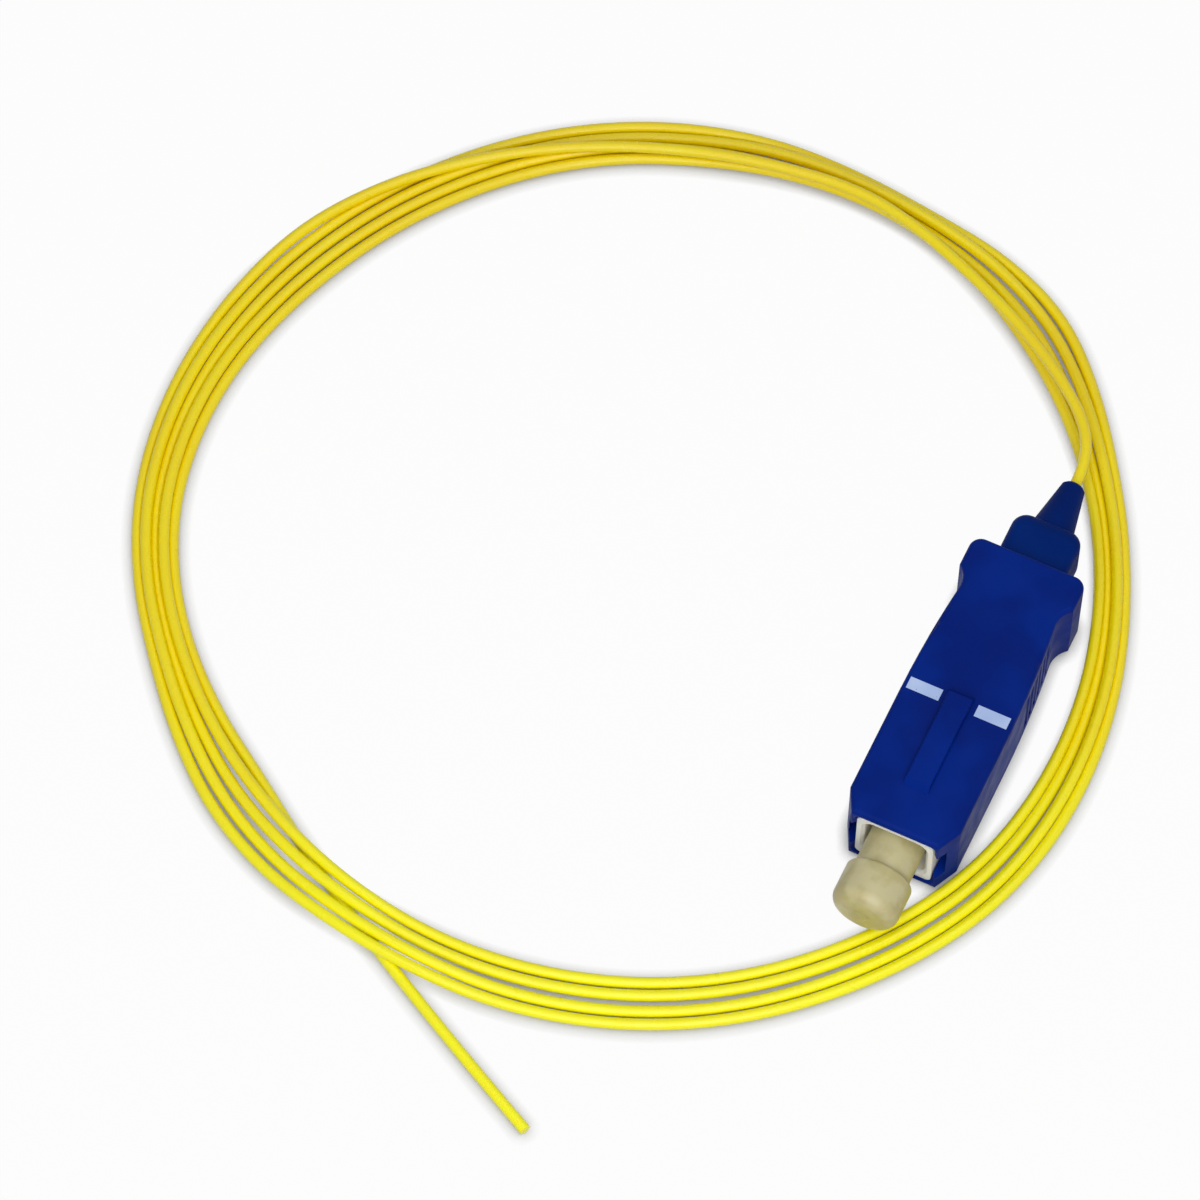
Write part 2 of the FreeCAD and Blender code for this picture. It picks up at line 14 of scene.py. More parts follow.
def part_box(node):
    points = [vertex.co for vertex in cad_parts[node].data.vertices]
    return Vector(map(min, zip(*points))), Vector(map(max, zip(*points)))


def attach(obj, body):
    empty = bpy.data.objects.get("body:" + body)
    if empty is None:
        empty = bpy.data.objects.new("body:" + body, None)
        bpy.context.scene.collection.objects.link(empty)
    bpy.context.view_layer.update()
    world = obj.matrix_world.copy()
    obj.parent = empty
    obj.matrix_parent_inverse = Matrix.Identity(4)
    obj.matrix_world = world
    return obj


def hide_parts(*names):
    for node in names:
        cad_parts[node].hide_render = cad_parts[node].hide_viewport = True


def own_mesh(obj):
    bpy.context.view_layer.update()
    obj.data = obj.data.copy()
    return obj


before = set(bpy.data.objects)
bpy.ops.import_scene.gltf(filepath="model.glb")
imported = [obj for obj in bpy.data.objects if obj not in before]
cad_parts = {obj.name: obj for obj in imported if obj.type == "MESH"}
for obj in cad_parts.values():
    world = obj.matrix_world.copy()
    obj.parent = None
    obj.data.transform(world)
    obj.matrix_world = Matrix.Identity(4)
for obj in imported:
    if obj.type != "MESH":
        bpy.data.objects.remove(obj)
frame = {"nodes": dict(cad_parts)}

LOG = logging.getLogger("pigtail")
MM = 0.001

Colour = tuple[float, float, float, float]
Place = tuple[float, float, float]
# Where a smooth step begins and where it ends.
Step = tuple[float, float]

# Kinds of socket on a node group.
VECTOR = "NodeSocketVector"
VALUE = "NodeSocketFloat"

# Layers of noise in a fine texture.
FINE_DETAIL = 3.0

# The moulded grain: the pits' share of its height, the scale of each other feature against the pits, and
# where its patches begin and end.
PIT_HEIGHT = 0.5
WAVE_SCALE = 0.2
SHINE_SCALE = 0.07
DRIFT_SCALE = 0.03
SHINE_STEP: Step = (0.3, 0.7)
DRIFT_STEP: Step = (0.32, 0.68)


class Slot(Enum):
    """Names of two material slots of the record."""

    FIBRE = "fibre_yellow"
    SPRING = "spring_steel"


class Body(Enum):
    """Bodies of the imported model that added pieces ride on."""

    PLUG = "plug"


def srgb(red: int, green: int, blue: int) -> Colour:
    """Turns a colour as it is seen on a screen into linear light.

    Args:
        red: Red, from 0 to 255.
        green: Green, from 0 to 255.
        blue: Blue, from 0 to 255.

    Returns:
        The linear colour with full opacity.
    """
    def linear(value: int) -> float:
        """One channel in linear light."""
        share = value / 255
        return share / 12.92 if share <= 0.04045 else ((share + 0.055) / 1.055) ** 2.4

    return linear(red), linear(green), linear(blue), 1.0


class Sheet:
    """A node tree with short calls that add nodes and link them."""

    # The Mix node has a pair of inputs and an output for each kind of data. These are for colours.
    MIX_FIRST = 6
    MIX_SECOND = 7
    MIX_RESULT = 2

    def __init__(self, tree: bpy.types.NodeTree) -> None:
        """Keeps the tree that the calls work on."""
        self.tree = tree

    def add(self, kind: str, feeds: dict | None = None, **settings: object) -> bpy.types.Node:
        """Adds a node.

        Args:
            kind: The node's type name.
            feeds: A value or an output socket for each input, by name or index.
            settings: The node's own properties.

        Returns:
            The new node.
        """
        node = self.tree.nodes.new(kind)
        for name, value in settings.items():
            setattr(node, name, value)
        for key, value in (feeds or {}).items():
            if isinstance(value, bpy.types.NodeSocket):
                self.tree.links.new(value, node.inputs[key])
            else:
                node.inputs[key].default_value = value
        return node

    def math(self, operation: str, *values: object) -> bpy.types.NodeSocket:
        """Adds a Math node over its values or sockets and returns its output."""
        return self.add("ShaderNodeMath", dict(enumerate(values)), operation=operation).outputs[0]

    def blend(self, share: object, first: object, second: object) -> bpy.types.NodeSocket:
        """Adds a colour mix from the first colour to the second and returns its output."""
        feeds = {0: share, self.MIX_FIRST: first, self.MIX_SECOND: second}
        return self.add("ShaderNodeMix", feeds, data_type="RGBA").outputs[self.MIX_RESULT]

    def noise(self, place: object, scale: object, detail: float = 2.0) -> bpy.types.NodeSocket:
        """Adds a noise texture at a scale in features per metre and returns its value."""
        feeds = {"Vector": place, "Scale": scale, "Detail": detail}
        return self.add("ShaderNodeTexNoise", feeds).outputs["Fac"]

    def ease(
        self, value: object, low: float, high: float, start: float = 0.0, end: float = 1.0
    ) -> bpy.types.NodeSocket:
        """Adds a smooth step from one level to another and returns its output.

        Args:
            value: The value or socket that is measured.
            low: Where the step begins.
            high: Where the step ends.
            start: The level before the step.
            end: The level after the step.

        Returns:
            The stepped level.
        """
        feeds = {"Value": value, "From Min": low, "From Max": high, "To Min": start, "To Max": end}
        return self.add("ShaderNodeMapRange", feeds, interpolation_type="SMOOTHSTEP").outputs[0]

    def parts(self, place: object) -> list[bpy.types.NodeSocket]:
        """Splits a vector and returns its three parts."""
        return list(self.add("ShaderNodeSeparateXYZ", {0: place}).outputs)

    def effect(self, group: bpy.types.NodeTree, feeds: dict) -> bpy.types.Node:
        """Places a shared effect with its own values and returns its node."""
        return self.add("ShaderNodeGroup", feeds, node_tree=group)


def effect_group(
    name: str, inputs: dict[str, str], outputs: tuple[str, ...], fill: Callable[[Sheet, dict], dict]
) -> bpy.types.NodeTree:
    """Builds one shared shader effect.

    Args:
        name: The effect's name.
        inputs: The kind of each named input.
        outputs: The names of its values.
        fill: Adds the nodes, given the sheet and the input sockets, and returns a socket for each output.

    Returns:
        The node group.
    """
    group = bpy.data.node_groups.new(name, "ShaderNodeTree")
    for socket, kind in inputs.items():
        group.interface.new_socket(socket, in_out="INPUT", socket_type=kind)
    for socket in outputs:
        group.interface.new_socket(socket, in_out="OUTPUT", socket_type=VALUE)
    sheet = Sheet(group)
    entry = sheet.add("NodeGroupInput")
    found = fill(sheet, {socket: entry.outputs[socket] for socket in inputs})
    sheet.add("NodeGroupOutput", found)
    return group


@dataclass(frozen=True)
class Effects:
    """The shader effects that several finishes share."""

    grain: bpy.types.NodeTree
    axis: bpy.types.NodeTree

    @classmethod
    def build(cls) -> "Effects":
        """Builds every effect once.

        Returns:
            The effects.
        """
        grain_inputs = {"Place": VECTOR, "Size": VALUE}
        axis_inputs = {"Place": VECTOR, "Axis Height": VALUE}
        return cls(
            grain=effect_group("moulded_grain", grain_inputs, ("Height", "Shine", "Drift"), cls.fill_grain),
            axis=effect_group("plug_axis", axis_inputs, ("Reach", "Station"), cls.fill_axis),
        )

    @staticmethod
    def fill_grain(sheet: Sheet, given: dict) -> dict:
        """Adds the grain of a moulded surface: fine pits, soft waves, patches of shine and slow colour drift.

        Args:
            sheet: The group's sheet.
            given: The group's input sockets.

        Returns:
            A socket for each output.
        """
        fine = sheet.math("DIVIDE", 1.0, given["Size"])
        pits = sheet.noise(given["Place"], fine, FINE_DETAIL)
        waves = sheet.noise(given["Place"], sheet.math("MULTIPLY", fine, WAVE_SCALE))
        shine = sheet.noise(given["Place"], sheet.math("MULTIPLY", fine, SHINE_SCALE))
        drift = sheet.noise(given["Place"], sheet.math("MULTIPLY", fine, DRIFT_SCALE))
        return {
            "Height": sheet.math("ADD", sheet.math("MULTIPLY", pits, PIT_HEIGHT), waves),
            "Shine": sheet.ease(shine, *SHINE_STEP),
            "Drift": sheet.ease(drift, *DRIFT_STEP),
        }

    @staticmethod
    def fill_axis(sheet: Sheet, given: dict) -> dict:
        """Measures a point against the plug's axis: its distance from it, and its place along it.

        Args:
            sheet: The group's sheet.
            given: The group's input sockets.

        Returns:
            A socket for each output.
        """
        across, along, up = sheet.parts(given["Place"])
        rise = sheet.math("SUBTRACT", up, given["Axis Height"])
        squares = sheet.math("ADD", sheet.math("POWER", across, 2.0), sheet.math("POWER", rise, 2.0))
        return {"Reach": sheet.math("SQRT", squares), "Station": along}


@dataclass(frozen=True)
class Workshop:
    """What every finish needs to know: the shared effects and where the plug's axis is."""

    effects: Effects
    axis_height: float


@dataclass(frozen=True)
class Surface:
    """A material in the making: its sheet, its place socket and its shader."""

    material: bpy.types.Material
    sheet: Sheet
    place: bpy.types.NodeSocket
    shader: bpy.types.Node

    @classmethod
    def start(cls, name: str, constants: dict) -> "Surface":
        """Opens a material with a Principled shader on Object coordinates.

        Args:
            name: The material's name.
            constants: The shader's values that are the same all over the surface.

        Returns:
            The surface, ready for its nodes.
        """
        material = bpy.data.materials.new(name)
        material.use_nodes = True
        sheet = Sheet(material.node_tree)
        shader = material.node_tree.nodes["Principled BSDF"]
        for socket, value in constants.items():
            shader.inputs[socket].default_value = value
        place = sheet.add("ShaderNodeTexCoord").outputs["Object"]
        return cls(material, sheet, place, shader)

    def grain(self, shop: Workshop, size: float) -> bpy.types.NodeOutputs:
        """Places the moulded grain with pits of a size in metres and returns its outputs."""
        return self.sheet.effect(shop.effects.grain, {"Place": self.place, "Size": size}).outputs

    def axis(self, shop: Workshop) -> bpy.types.NodeOutputs:
        """Places the measures against the plug's axis and returns their outputs."""
        feeds = {"Place": self.place, "Axis Height": shop.axis_height}
        return self.sheet.effect(shop.effects.axis, feeds).outputs

    def colour(self, socket: bpy.types.NodeSocket) -> None:
        """Links the base colour."""
        self.sheet.tree.links.new(socket, self.shader.inputs["Base Color"])

    def roughness(self, share: object, smooth: float, rough: float) -> None:
        """Links a roughness that goes from smooth to rough.

        Args:
            share: The socket that says how far, from 0 to 1.
            smooth: The roughness at 0.
            rough: The roughness at 1.
        """
        feeds = {"Value": share, "To Min": smooth, "To Max": rough}
        level = self.sheet.add("ShaderNodeMapRange", feeds).outputs[0]
        self.sheet.tree.links.new(level, self.shader.inputs["Roughness"])

    def relief(self, height: object, depth: float) -> None:
        """Links a bump.

        Args:
            height: The socket with the height, where 1 stands for the depth.
            depth: The depth in metres.
        """
        feeds = {"Height": height, "Distance": depth, "Strength": 1.0}
        bump = self.sheet.add("ShaderNodeBump", feeds).outputs[0]
        self.sheet.tree.links.new(bump, self.shader.inputs["Normal"])


@dataclass(frozen=True)
class MouldedPlastic:
    """Injection-moulded plastic: fine spark grain, slow colour drift and a parting line."""

    name: str
    deep: Colour
    bright: Colour
    smooth: float
    rough: float
    grain_size: float = 0.16 * MM
    grain_depth: float = 0.006 * MM
    refraction: float = 1.5
    gloss: float = 0.5
    glow: float = 0.0
    glow_reach: float = 0.6 * MM
    glow_spread: tuple[float, float, float] = (1.0, 0.8, 0.6)
    parting_line: bool = False
    seam_tint: float = 0.4
    seam_height: float = 3.0
    seam_edge: Step = (0.03 * MM, 0.08 * MM)
    seam_side: Step = (0.5, 0.8)

    def make(self, shop: Workshop) -> bpy.types.Material:
        """Makes the material.

        Args:
            shop: The shared effects and the plug's axis.

        Returns:
            The material.
        """
        surface = Surface.start(self.name, {
            "IOR": self.refraction,
            "Specular IOR Level": self.gloss,
            "Subsurface Weight": self.glow,
            "Subsurface Radius": self.glow_spread,
            "Subsurface Scale": self.glow_reach,
        })
        sheet = surface.sheet
        grain = surface.grain(shop, self.grain_size)
        tint = sheet.blend(grain["Drift"], self.deep, self.bright)
        height = grain["Height"]
        if self.parting_line:
            seam = self.seam(surface, shop.axis_height)
            tint = sheet.blend(sheet.math("MULTIPLY", seam, self.seam_tint), tint, self.bright)
            height = sheet.math("ADD", height, sheet.math("MULTIPLY", seam, self.seam_height))
        surface.colour(tint)
        surface.roughness(grain["Shine"], self.smooth, self.rough)
        surface.relief(height, self.grain_depth)
        return surface.material

    def seam(self, surface: Surface, axis_height: float) -> bpy.types.NodeSocket:
        """Marks the line where the mould's halves met, along the narrow sides at the height of the axis.

        Args:
            surface: The material in the making.
            axis_height: The height of the plug's axis.

        Returns:
            A mask that is 1 on the line.
        """
        sheet = surface.sheet
        _, _, up = sheet.parts(surface.place)
        rise = sheet.math("ABSOLUTE", sheet.math("SUBTRACT", up, axis_height))
        line = sheet.ease(rise, *self.seam_edge, 1.0, 0.0)
        across, _, _ = sheet.parts(sheet.add("ShaderNodeNewGeometry").outputs["Normal"])
        side = sheet.ease(sheet.math("ABSOLUTE", across), *self.seam_side)
        return sheet.math("MULTIPLY", line, side)


@dataclass(frozen=True)
class PrintedInk:
    """Pad-printed ink: a thin film with pinholes where the plastic under it shows."""

    name: str
    ink: Colour
    thin: Colour
    under: Colour
    smooth: float = 0.38
    rough: float = 0.55
    refraction: float = 1.48
    grain_size: float = 0.1 * MM
    grain_depth: float = 0.008 * MM
    pinhole_size: float = 0.22 * MM
    pinhole_step: Step = (0.68, 0.76)

    def make(self, shop: Workshop) -> bpy.types.Material:
        """Makes the material.

        Args:
            shop: The shared effects and the plug's axis.

        Returns:
            The material.
        """
        surface = Surface.start(self.name, {"IOR": self.refraction})
        sheet = surface.sheet
        grain = surface.grain(shop, self.grain_size)
        film = sheet.blend(grain["Drift"], self.ink, self.thin)
        spots = sheet.noise(surface.place, 1 / self.pinhole_size, FINE_DETAIL)
        surface.colour(sheet.blend(sheet.ease(spots, *self.pinhole_step), film, self.under))
        surface.roughness(grain["Shine"], self.smooth, self.rough)
        surface.relief(grain["Height"], self.grain_depth)
        return surface.material


@dataclass(frozen=True)
class MilkyPlastic:
    """Soft translucent plastic of the dust cap: cloudy flow marks and the round scar of its gate."""

    name: str
    clear: Colour
    cloudy: Colour
    smooth: float = 0.3
    rough: float = 0.46
    refraction: float = 1.5
    glow: float = 0.7
    glow_reach: float = 1.2 * MM
    glow_spread: tuple[float, float, float] = (1.0, 0.75, 0.4)
    see_through: float = 0.12
    grain_size: float = 0.25 * MM
    grain_depth: float = 0.01 * MM
    flow_size: float = 1.6 * MM
    flow_step: Step = (0.35, 0.65)
    gate_radius: float = 0.55 * MM
    gate_edge: Step = (0.05 * MM, 0.12 * MM)
    gate_reach: Step = (0.2 * MM, 0.3 * MM)
    gate_depth: float = 4.0

    def make(self, shop: Workshop) -> bpy.types.Material:
        """Makes the material.

        Args:
            shop: The shared effects and the plug's axis.

        Returns:
            The material.
        """
        surface = Surface.start(self.name, {
            "IOR": self.refraction,
            "Subsurface Weight": self.glow,
            "Subsurface Radius": self.glow_spread,
            "Subsurface Scale": self.glow_reach,
            "Transmission Weight": self.see_through,
        })
        sheet = surface.sheet
        grain = surface.grain(shop, self.grain_size)
        flow = sheet.noise(surface.place, 1 / self.flow_size, FINE_DETAIL)
        surface.colour(sheet.blend(sheet.ease(flow, *self.flow_step), self.clear, self.cloudy))
        surface.roughness(grain["Shine"], self.smooth, self.rough)
        scar = sheet.math("MULTIPLY", self.gate_scar(surface, shop), self.gate_depth)
        surface.relief(sheet.math("SUBTRACT", grain["Height"], scar), self.grain_depth)
        return surface.material

    def gate_scar(self, surface: Surface, shop: Workshop) -> bpy.types.NodeSocket:
        """Marks the ring that the mould's gate left on the cap's nose.

        Args:
            surface: The material in the making.
            shop: The shared effects and the plug's axis.

        Returns:
            A mask that is 1 on the ring.
        """
        sheet = surface.sheet
        axis = surface.axis(shop)
        off_ring = sheet.math("ABSOLUTE", sheet.math("SUBTRACT", axis["Reach"], self.gate_radius))
        ring = sheet.ease(off_ring, *self.gate_edge, 1.0, 0.0)
        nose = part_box("dust_cap")[0].y
        near, far = self.gate_reach
        at_nose = sheet.ease(axis["Station"], nose + near, nose + far, 1.0, 0.0)
        return sheet.math("MULTIPLY", ring, at_nose)


@dataclass(frozen=True)
class GroundCeramic:
    """Ground and polished ceramic of the ferrule, with the glass in the middle of its end face."""

    name: str
    body: Colour
    warm: Colour
    glass: Colour
    smooth: float = 0.08
    rough: float = 0.22
    refraction: float = 2.1
    glow: float = 0.15
    glow_reach: float = 0.5 * MM
    grain_size: float = 0.12 * MM
    ring_pitch: float = 0.05 * MM
    ring_depth: float = 0.001 * MM
    glass_radius: float = 0.0625 * MM
    glass_blur: float = 0.00625 * MM
    face_reach: Step = (0.02 * MM, 0.05 * MM)

    def make(self, shop: Workshop) -> bpy.types.Material:
        """Makes the material.

        Args:
            shop: The shared effects and the plug's axis.

        Returns:
            The material.
        """
        surface = Surface.start(self.name, {
            "IOR": self.refraction,
            "Subsurface Weight": self.glow,
            "Subsurface Scale": self.glow_reach,
        })
        sheet = surface.sheet
        axis = surface.axis(shop)
        grain = surface.grain(shop, self.grain_size)
        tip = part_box("ferrule")[0].y
        near, far = self.face_reach
        face = sheet.ease(axis["Station"], tip + near, tip + far, 1.0, 0.0)
        blur = self.glass_blur
        core = sheet.ease(axis["Reach"], self.glass_radius - blur, self.glass_radius + blur, 1.0, 0.0)
        tint = sheet.blend(grain["Drift"], self.body, self.warm)
        surface.colour(sheet.blend(sheet.math("MULTIPLY", face, core), tint, self.glass))
        line = sheet.add("ShaderNodeCombineXYZ", {"Y": axis["Station"]}).outputs[0]
        rings = sheet.noise(line, 1 / self.ring_pitch)
        surface.roughness(rings, self.smooth, self.rough)
        surface.relief(rings, self.ring_depth)
        return surface.material


@dataclass(frozen=True)
class WorkedMetal:
    """Metal with the marks of its making along the plug's axis: turned rings or drawn wire."""

    name: str
    dark: Colour
    light: Colour
    smooth: float
    rough: float
    mark_pitch: float
    mark_depth: float = 0.004 * MM
    grain_size: float = 0.2 * MM

    def make(self, shop: Workshop) -> bpy.types.Material:
        """Makes the material.

        Args:
            shop: The shared effects and the plug's axis.

        Returns:
            The material.
        """
        surface = Surface.start(self.name, {"Metallic": 1.0})
        sheet = surface.sheet
        axis = surface.axis(shop)
        grain = surface.grain(shop, self.grain_size)
        line = sheet.add("ShaderNodeCombineXYZ", {"X": axis["Reach"], "Y": axis["Station"]}).outputs[0]
        marks = sheet.noise(line, 1 / self.mark_pitch, FINE_DETAIL)
        surface.colour(sheet.blend(grain["Drift"], self.dark, self.light))
        surface.roughness(marks, self.smooth, self.rough)
        surface.relief(marks, self.mark_depth)
        return surface.material


@dataclass(frozen=True)
class BufferCoat:
    """The fibre's tight plastic buffer, with painted light and shade: darker golden at the back of the coil
    as painted shade and brighter lemon at the front as painted light.
    """

    name: str
    shaded_golden: Colour
    lit_lemon: Colour
    # Painted light and shade: the way across the coil in which the painted shade deepens, and where the
    # painted light gives way to it.
    shade_way: Place = (-0.43, 0.9, 0.0)
    shade_from: float = 12 * MM
    lit_from: float = -26 * MM
    most_lit: float = 0.9
    least_lit: float = 0.1
    drift: float = 0.1
    drift_size: float = 14 * MM
    drift_step: Step = (0.35, 0.65)
    smooth: float = 0.24
    rough: float = 0.36
    refraction: float = 1.5
    gloss: float = 0.45
    glow: float = 0.25
    glow_reach: float = 0.3 * MM
    glow_spread: tuple[float, float, float] = (1.0, 0.8, 0.1)
    grain_size: float = 0.12 * MM
    grain_depth: float = 0.002 * MM

    def make(self, shop: Workshop) -> bpy.types.Material:
        """Makes the material.

        Args:
            shop: The shared effects and the plug's axis.

        Returns:
            The material.
        """
        surface = Surface.start(self.name, {
            "IOR": self.refraction,
            "Specular IOR Level": self.gloss,
            "Subsurface Weight": self.glow,
            "Subsurface Radius": self.glow_spread,
            "Subsurface Scale": self.glow_reach,
        })
        sheet = surface.sheet
        grain = surface.grain(shop, self.grain_size)
        # Painted light and shade: the colour goes from bright lemon at the front of the coil, as painted
        # light, to darker golden at the back, as painted shade.
        feeds = {0: surface.place, 1: self.shade_way}
        back = sheet.add("ShaderNodeVectorMath", feeds, operation="DOT_PRODUCT").outputs["Value"]
        lit_share = sheet.ease(back, self.lit_from, self.shade_from, self.most_lit, self.least_lit)
        patches = sheet.noise(surface.place, 1 / self.drift_size)
        drift = sheet.ease(patches, *self.drift_step, -self.drift, self.drift)
        surface.colour(sheet.blend(sheet.math("ADD", lit_share, drift), self.shaded_golden, self.lit_lemon))
        surface.roughness(grain["Shine"], self.smooth, self.rough)
        surface.relief(grain["Height"], self.grain_depth)
        return surface.material


def eased(value: float, start: float, end: float) -> float:
    """Gives a smooth step.

    Args:
        value: The value that is measured.
        start: Where the step begins.
        end: Where the step ends.

    Returns:
        0 before the step, 1 after it.
    """
    share = min(max((value - start) / (end - start), 0.0), 1.0)
    return (1 - math.cos(math.pi * share)) / 2


@dataclass
class Fibre:
    """The yellow fibre from the boot, round through the turns of its loose coil, to the cut end.

    The turns lie side by side in a band. The band's edges are distances from the coil's centre, in even
    steps round from +X. A strand's lane is its place across the band, from 0 at the inner edge to 1 at the
    outer one. The fibre comes in along the inner edge, crosses over the band to the outer lane and winds
    inwards from there. The cut end leaves the inner lane and comes out under the band.

    Angles count on from +X as the fibre winds. The crossing and the spread are measured within a turn, and
    the layers swap once a turn, at layer_start. The steepest value is the most that a strand rises or falls
    for its run.
    """

    finish: BufferCoat
    diameter: float = 0.9 * MM
    declared_length: float = 1.1
    round_resolution: int = 5
    path_resolution: int = 6
    step: float = math.radians(10)
    first_angle: float = math.radians(98)
    last_angle: float = math.radians(1668)
    full_turns: int = 4
    crossing: float = math.radians(68)
    pairing: float = 0.03
    pairing_middle: float = math.radians(295)
    spread: Step = (math.radians(142), math.radians(192))
    layer_start: float = math.radians(528)
    steepest: float = 0.1
    edges: tuple[tuple[float, float], ...] = (
        (0.03535, 0.03875), (0.03495, 0.03785), (0.0349, 0.0381), (0.0355, 0.0400), (0.0360, 0.0386),
        (0.0355, 0.0391), (0.0353, 0.0393), (0.0348, 0.0394), (0.0347, 0.0398), (0.0354, 0.0397),
        (0.0356, 0.0393), (0.0345, 0.03825), (0.0334, 0.0389), (0.0339, 0.0386), (0.0345, 0.0388),
        (0.0349, 0.03915), (0.0352, 0.0393), (0.03565, 0.0396),
    )
    centre: tuple[float, float] = (-0.0282, 0.0013)
    lead: tuple[Place, ...] = (
        (0.0, 0.0199, 0.0037),
        (0.0, 0.0221, 0.0037),
        (-0.00125, 0.02515, 0.00355),
        (-0.00465, 0.0284, 0.0031),
        (-0.0093, 0.03155, 0.0026),
        (-0.0149, 0.0344, 0.0022),
        (-0.0206, 0.03665, 0.0020),
        (-0.0262, 0.0378, 0.00195),
    )
    tail: tuple[Place, ...] = (
        (-0.0462, -0.0277, 0.00045),
        (-0.0414, -0.0310, 0.00045),
        (-0.0346, -0.0351, 0.00045),
        (-0.0273, -0.0390, 0.00045),
        (-0.0209, -0.04229, 0.00045),
        (-0.0157, -0.04485, 0.00045),
    )

    def build(self) -> bpy.types.Object:
        """Lays the fibre along one smooth spline.

        Returns:
            The fibre as a curve.
        """
        points = [*map(Vector, self.lead), *self.laid_turns()]
        curve = bpy.data.curves.new("fibre", "CURVE")
        curve.dimensions = "3D"
        curve.bevel_depth = self.diameter / 2
        curve.bevel_resolution = self.round_resolution
        curve.resolution_u = self.path_resolution
        curve.use_fill_caps = True
        spline = curve.splines.new("NURBS")
        spline.points.add(len(points) - 1)
        for control, point in zip(spline.points, points):
            control.co = (*point, 1.0)
        spline.order_u = 3
        spline.use_endpoint_u = True
        fibre = bpy.data.objects.new("fibre", curve)
        bpy.context.collection.objects.link(fibre)
        return fibre

    def dress(self, fibre: bpy.types.Object, shop: Workshop) -> None:
        """Gives the fibre its finish and ties it to the plug.

        Args:
            fibre: The fibre's curve.
            shop: The shared effects and the plug's axis.
        """
        fibre.data.materials.append(self.finish.make(shop))
        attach(fibre, Body.PLUG.value)
        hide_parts("fibre_lead", "fibre_coil", "fibre_tail")

    def band(self, angle: float) -> Vector:
        """Gives the band's edges at an angle, on a smooth line through the marks.

        Args:
            angle: The angle round the coil, in radians.

        Returns:
            The distances from the centre to the inner and the outer edge.
        """
        place = angle / math.tau % 1 * len(self.edges)
        index = int(place)
        share = place - index
        marks = [Vector(self.edges[(index + shift) % len(self.edges)]) for shift in (-1, 0, 1, 2)]
        before, start, end, after = marks
        bend = 2 * before - 5 * start + 4 * end - after
        twist = 3 * (start - end) + after - before
        return start + share / 2 * (end - before + share * (bend + share * twist))

    def lane(self, total: float) -> float:
        """Gives the strand's place across the band.

        Each turn lies inside the one before. Where the fibre from the boot has crossed to the outer lane, the
        turns move inwards to make room for it. Past the cut end the band holds one strand fewer, so they
        spread.

        Args:
            total: The angle wound so far, in radians.

        Returns:
            The lane, from 0 to 1.
        """
        turn, angle = divmod(total - self.first_angle, math.tau)
        coming = self.paired(turn - 1, total) if turn else 0.0
        close = 1 - turn / self.full_turns
        wide = self.paired(turn, total)
        lane = coming + (close - coming) * eased(angle, 0.0, self.crossing)
        return lane + (wide - close) * eased(angle, *self.spread)

    def paired(self, turn: float, angle: float) -> float:
        """Gives the lane of a whole turn, where the turns draw into pairs towards the front of the coil.

        Args:
            turn: The number of the turn.
            angle: The angle round the coil, in radians.

        Returns:
            The lane, from 0 to 1.
        """
        even = 1 - turn / (self.full_turns - 1)
        front = (1 + math.cos(angle - self.pairing_middle)) / 2
        return even - self.pairing * front * math.sin(math.tau * even)

    def place(self, total: float) -> Vector:
        """Gives the place of a control point on the floor.

        Args:
            total: The angle wound so far, in radians.

        Returns:
            The place, with the strand's middle half a diameter above the floor.
        """
        inner, outer = self.band(total)
        reach = inner + self.diameter / 2 + self.lane(total) * (outer - inner - self.diameter)
        # The spline passes inside its control points by this share on a round turn.
        reach /= 0.75 + 0.25 * math.cos(self.step)
        x, y = self.centre
        return Vector((x + reach * math.cos(total), y + reach * math.sin(total), self.diameter / 2))

    def laid_turns(self) -> list[Vector]:
        """Winds the turns, adds the cut end and lays them on each other.

        Every second turn is laid first, the one with the cut end among them, and the others between or on
        them. The stretch that comes down from the boot crosses on top.

        Returns:
            The control points of the coil and the cut end.
        """
        count = int((self.last_angle - self.first_angle) / self.step) + 1
        totals = [self.first_angle + index * self.step for index in range(count)]
        points = [*map(self.place, totals), *map(Vector, self.tail)]
        totals += [self.last_angle] * len(self.tail)
        crossed = sum(total < self.first_angle + self.crossing for total in totals)
        order = sorted(
            range(len(points) - 1, crossed - 1, -1),
            key=lambda index: (totals[index] - self.layer_start) // math.tau % 2,
            reverse=True,
        )
        laid: set[int] = set()
        for index in [*order, *reversed(range(crossed))]:
            runs = [(points[start], points[start + 1]) for start in laid if start + 1 in laid]
            beside = points[max(index - 1, 0):index + 2]
            # The spline touches the middles of its control runs, so they count as well as the point.
            spots = [points[index].lerp(other, 0.5) for other in beside]
            points[index].z = max(self.rest_height(spot, runs) for spot in spots)
            laid.add(index)
        return self.ramped(points)

    def rest_height(self, point: Vector, runs: list[tuple[Vector, Vector]]) -> float:
        """Finds the height at which the strand rests on the floor or on runs that already lie there.

        Args:
            point: The place of the strand.
            runs: The runs that lie there.

        Returns:
            The height of the strand's middle.
        """
        height = self.diameter / 2
        for start, end in runs:
            _, share = intersect_point_line(point.to_2d(), start.to_2d(), end.to_2d())
            under = start.lerp(end, min(max(share, 0.0), 1.0))
            apart = (point.to_2d() - under.to_2d()).length
            if apart < self.diameter:
                height = max(height, under.z + math.sqrt(self.diameter ** 2 - apart ** 2))
        return height

    def ramped(self, points: list[Vector]) -> list[Vector]:
        """Eases the strand up to each crossing and down from it, and down from the boot.

        Args:
            points: The control points of the coil and the cut end.

        Returns:
            The same points with their final heights.
        """
        before = Vector(self.lead[-1])
        for point in [*points, *reversed(points)]:
            point.z = max(point.z, before.z - self.steepest * (point - before).to_2d().length)
            before = point
        return points


